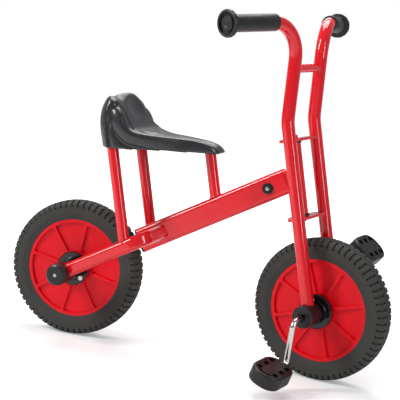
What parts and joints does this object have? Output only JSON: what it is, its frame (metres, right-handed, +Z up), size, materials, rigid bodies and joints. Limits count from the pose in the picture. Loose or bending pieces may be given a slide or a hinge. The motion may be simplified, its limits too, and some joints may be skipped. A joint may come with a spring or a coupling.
{
  "type": "child bicycle",
  "caption": "Child's bicycle with cranks fixed to the front wheel, a sloping beam frame and a bucket saddle with a backrest.",
  "frame": {"origin": "where the rider sits, on the middle of the saddle's seat", "axes": "+X forward, +Y the rider's left, +Z up; the rear wheel's plane is y = 0, and the front assembly rests turned to the right"},
  "size_m": [0.8899, 0.5175, 0.8001],
  "materials": {
    "red_paint": "gloss powder coat",
    "red_plastic": "moulded, slightly glossy",
    "black_plastic": "satin moulded",
    "black_rubber": "matt moulded rubber",
    "tyre_rubber": "matt solid rubber",
    "chrome_rod": "bright plated",
    "zinc": "zinc plated"
  },
  "bodies": {
    "frame": {"beam_bolt": "zinc", "beam_bolt_cap_left": "black_plastic", "beam_bolt_cap_right": "black_plastic", "beam_plug": "black_plastic", "head_bushing_lower": "black_plastic", "head_bushing_upper": "black_plastic", "head_stub": "red_paint", "head_tube": "red_paint", "main_beam": "red_paint", "rear_axle_cap_left": "black_plastic", "rear_axle_cap_right": "black_plastic", "rear_housing_left": "black_plastic", "rear_housing_right": "black_plastic", "rear_stay_left": "red_paint", "rear_stay_right": "red_paint", "saddle": "black_plastic", "seat_post_front": "red_paint", "seat_post_rear_left": "red_paint", "seat_post_rear_right": "red_paint"},
    "fork": {"fork_tube_left": "red_paint", "fork_tube_right": "red_paint", "front_housing_left": "black_plastic", "front_housing_right": "black_plastic", "grip_left": "black_rubber", "grip_right": "black_rubber", "handlebar_crossbar": "red_paint", "steering_pin": "red_paint", "steering_plate_lower": "red_paint", "steering_plate_upper": "red_paint"},
    "front_wheel": {"crank": "chrome_rod", "front_disc": "red_plastic", "front_hub_flange_left": "black_plastic", "front_hub_flange_right": "black_plastic", "front_tyre": "tyre_rubber"},
    "rear_wheel": {"rear_axle": "zinc", "rear_disc": "red_plastic", "rear_hub_flange_left": "black_plastic", "rear_hub_flange_right": "black_plastic", "rear_spacer_left": "black_plastic", "rear_spacer_right": "black_plastic", "rear_tyre": "tyre_rubber"},
    "pedal_left_body": {"pedal_left": "black_rubber"},
    "pedal_right_body": {"pedal_right": "black_rubber"}
  },
  "joints": [
    {"name": "steering", "type": "hinge", "parent": "frame", "child": "fork", "pos_m": [0.2659, 0, -0.05403], "axis": [-0.2284, 0, 0.9736], "range_deg": [-45.3, 74.7]},
    {"name": "front_wheel_spin", "type": "hinge", "parent": "fork", "child": "front_wheel", "pos_m": [0.35425, -0.00596, -0.33118], "axis": [0.2471, 0.9673, 0.0579], "continuous": true},
    {"name": "rear_wheel_spin", "type": "hinge", "parent": "frame", "child": "rear_wheel", "pos_m": [-0.225, 0, -0.331], "axis": [0, 1, 0], "continuous": true},
    {"name": "pedal_left_spin", "type": "hinge", "parent": "front_wheel", "child": "pedal_left_body", "pos_m": [0.41038, 0.1809, -0.22103], "axis": [0.2471, 0.9673, 0.0579], "continuous": true},
    {"name": "pedal_right_spin", "type": "hinge", "parent": "front_wheel", "child": "pedal_right_body", "pos_m": [0.29812, -0.19283, -0.44132], "axis": [0.2471, 0.9673, 0.0579], "continuous": true}
  ]
}
